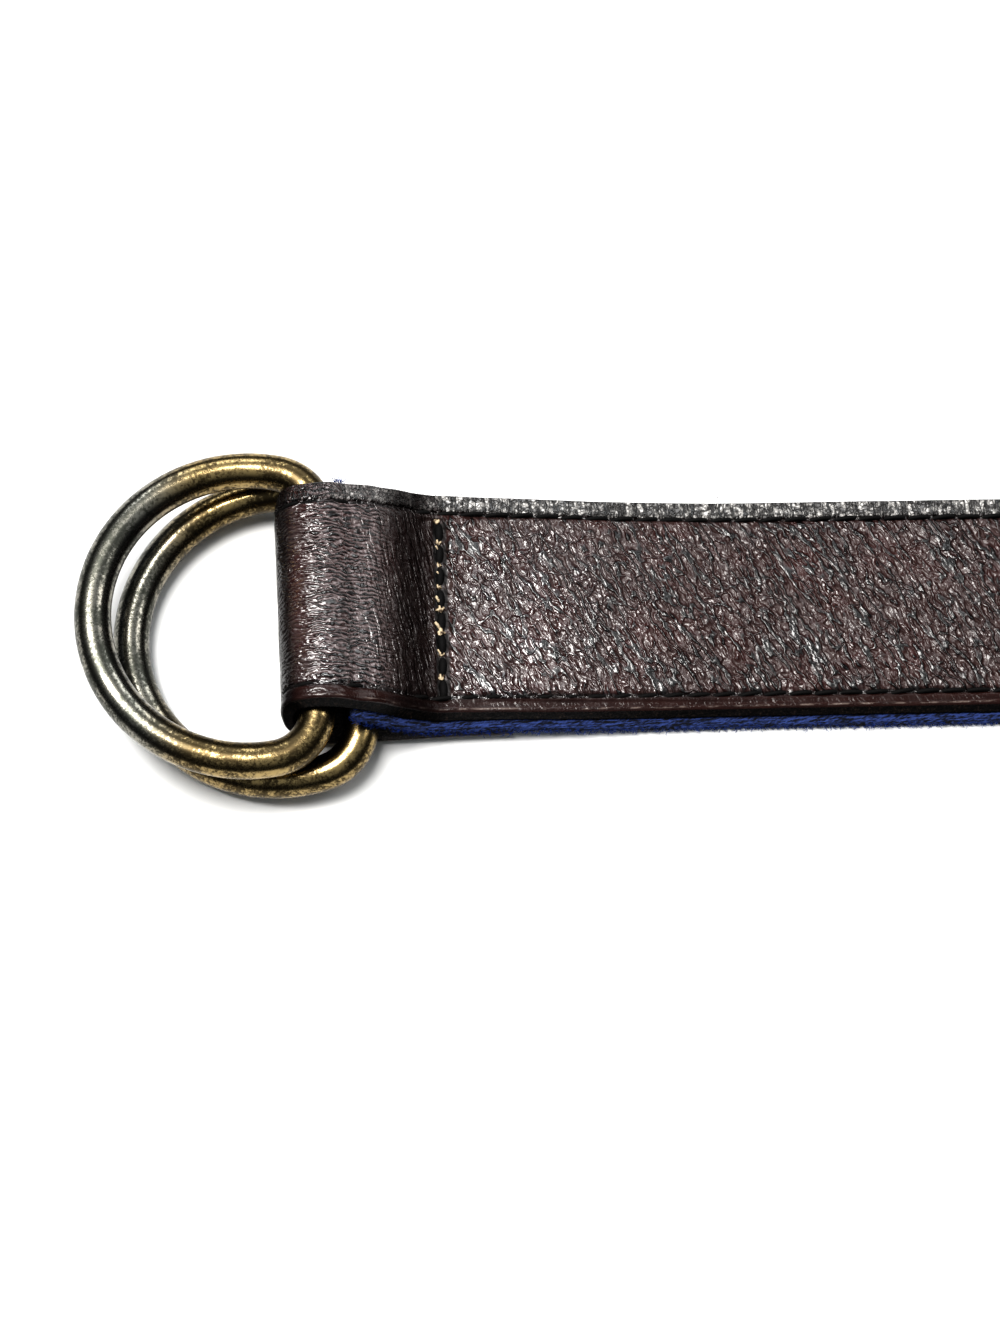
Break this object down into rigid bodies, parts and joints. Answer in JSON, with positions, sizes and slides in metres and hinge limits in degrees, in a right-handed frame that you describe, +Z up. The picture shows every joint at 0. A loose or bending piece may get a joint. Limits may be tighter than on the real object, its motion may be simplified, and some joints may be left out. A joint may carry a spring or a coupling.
{
  "type": "double ring belt",
  "caption": "Ring end of a dark brown leather belt backed with blue webbing, folded round D-shaped rings of antique brass wire and sewn with black thread",
  "frame": {"origin": "under the cross row of stitches, on the flat underside of the returned leather, in the middle of the strap's width", "axes": "+X along the strap, away from the rings; +Y across the strap, to the picture's far edge; +Z up, out of the strap's grain side"},
  "size_m": [0.1467, 0.05, 0.0157],
  "materials": {
    "leather": "pebbled grain, half glossy",
    "webbing": "matt, slightly fuzzy",
    "ring_brass": "antique, mottled dark patina, glossy"
  },
  "bodies": {
    "belt": {"leather_strap": "leather", "webbing_backing": "webbing"},
    "upper_ring": {"upper_ring": "ring_brass"},
    "lower_ring": {"lower_ring": "ring_brass"}
  },
  "joints": [
    {"name": "upper_ring_swing", "type": "hinge", "parent": "belt", "child": "upper_ring", "pos_m": [-0.0176, -0.0021, 0.00985], "axis": [0, 1, 0], "range_deg": [0, 90]},
    {"name": "lower_ring_swing", "type": "hinge", "parent": "belt", "child": "lower_ring", "pos_m": [-0.0134, -0.002, 0.0047], "axis": [-0.1132, 0.9936, 0], "range_deg": [0, 14]}
  ],
  "couplings": [
    {"joint": "lower_ring_swing", "follows": "upper_ring_swing", "ratio": 0.15}
  ]
}
